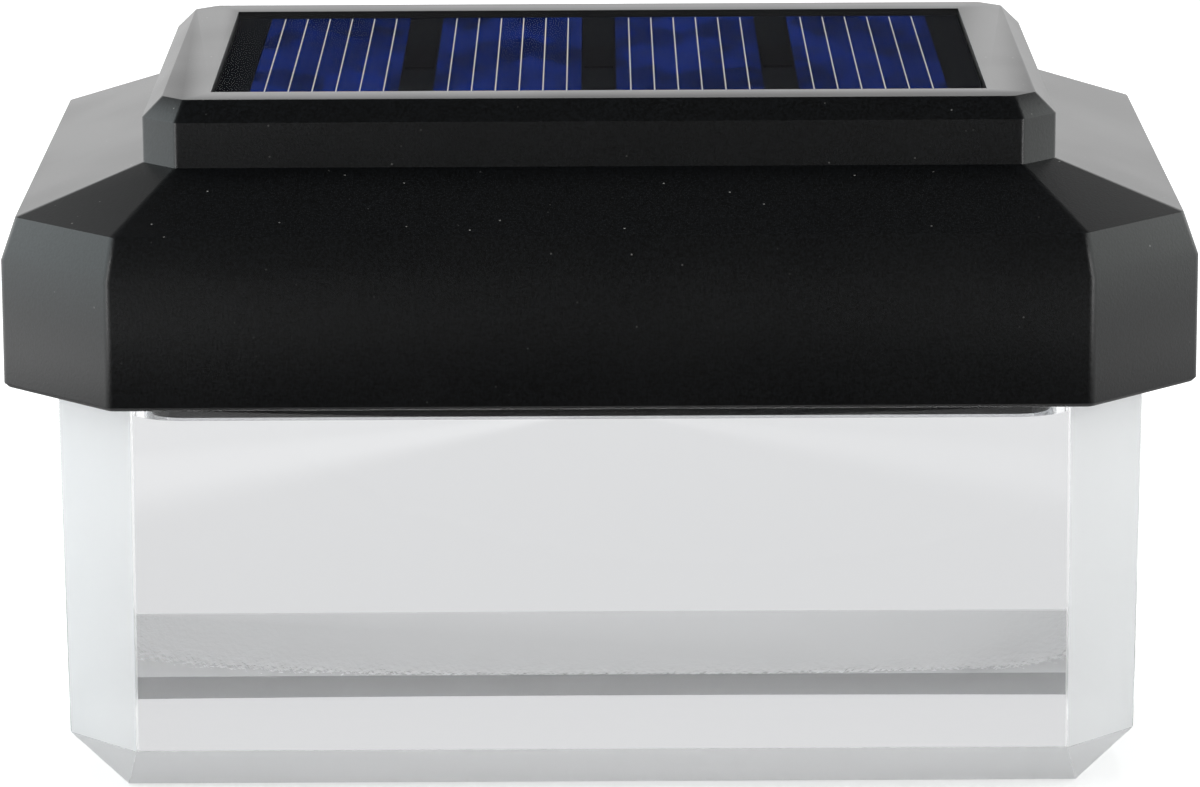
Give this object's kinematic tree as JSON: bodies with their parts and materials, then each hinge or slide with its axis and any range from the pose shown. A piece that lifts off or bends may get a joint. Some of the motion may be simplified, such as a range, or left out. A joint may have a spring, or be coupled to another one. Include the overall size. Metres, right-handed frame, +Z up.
{
  "type": "fence light",
  "caption": "Small solar fence light: a black chamfered head with a solar panel on a raised tier, over a solid clear bevelled block lit from above.",
  "frame": {"origin": "middle of the clear block's underside, where the light stands", "axes": "+X along the long front, +Y from the front to the back that meets the fence, +Z up"},
  "size_m": [0.12, 0.09, 0.07],
  "materials": {
    "clear_acrylic": "solid clear acrylic, polished on the four wide faces, pebbled on the corner chamfers and the foot bevel",
    "cap_plastic": "black moulded plastic with a fine satin grain",
    "board_black": "black laminate",
    "cell_blue": "deep blue polycrystalline silicon with six silver fingers a cell",
    "link_black": "black tape over the link ribbons",
    "glaze_clear": "clear cast coating",
    "foam_grey": "double-sided foam tape",
    "base_plastic": "black moulded plastic",
    "seal_rubber": "soft black foam rubber",
    "zinc_steel": "zinc plated",
    "cell_sleeve": "plain green shrink sleeve",
    "nickel_plate": "nickel plated",
    "board_green": "green lacquered glass-fibre board",
    "chip_black": "black epoxy",
    "coil_black": "black sleeve over a ferrite core",
    "lamp_epoxy": "clear epoxy",
    "switch_can": "tinned can",
    "knob_plastic": "white moulded plastic",
    "lead_red": "red insulation",
    "lead_black": "black insulation"
  },
  "bodies": {
    "block": {"clear_block": "clear_acrylic"},
    "head": {"cap_shell": "cap_plastic", "solar_board": "board_black", "solar_cells": "cell_blue", "cell_links": "link_black", "panel_glaze": "glaze_clear", "panel_pad": "foam_grey", "base_plate": "base_plastic", "battery_cover": "base_plastic", "head_gasket": "seal_rubber", "plug_seal": "seal_rubber", "base_screws": "zinc_steel", "cover_screw": "zinc_steel", "board_screws": "zinc_steel", "battery": "cell_sleeve", "contact_plates": "nickel_plate", "contact_spring": "nickel_plate", "circuit_board": "board_green", "driver_chip": "chip_black", "inductor": "coil_black", "led_left": "lamp_epoxy", "led_right": "lamp_epoxy", "switch_body": "switch_can", "panel_wire_red": "lead_red", "panel_wire_black": "lead_black", "battery_wire_red": "lead_red", "battery_wire_black": "lead_black"},
    "slider": {"switch_slider": "knob_plastic"}
  },
  "joints": [
    {"name": "head_lift", "type": "slide", "parent": "block", "child": "head", "axis": [0, 0, 1], "range_m": [0, 0.03]},
    {"name": "switch_slide", "type": "slide", "parent": "head", "child": "slider", "axis": [1, 0, 0], "range_m": [0, 0.0025]}
  ]
}
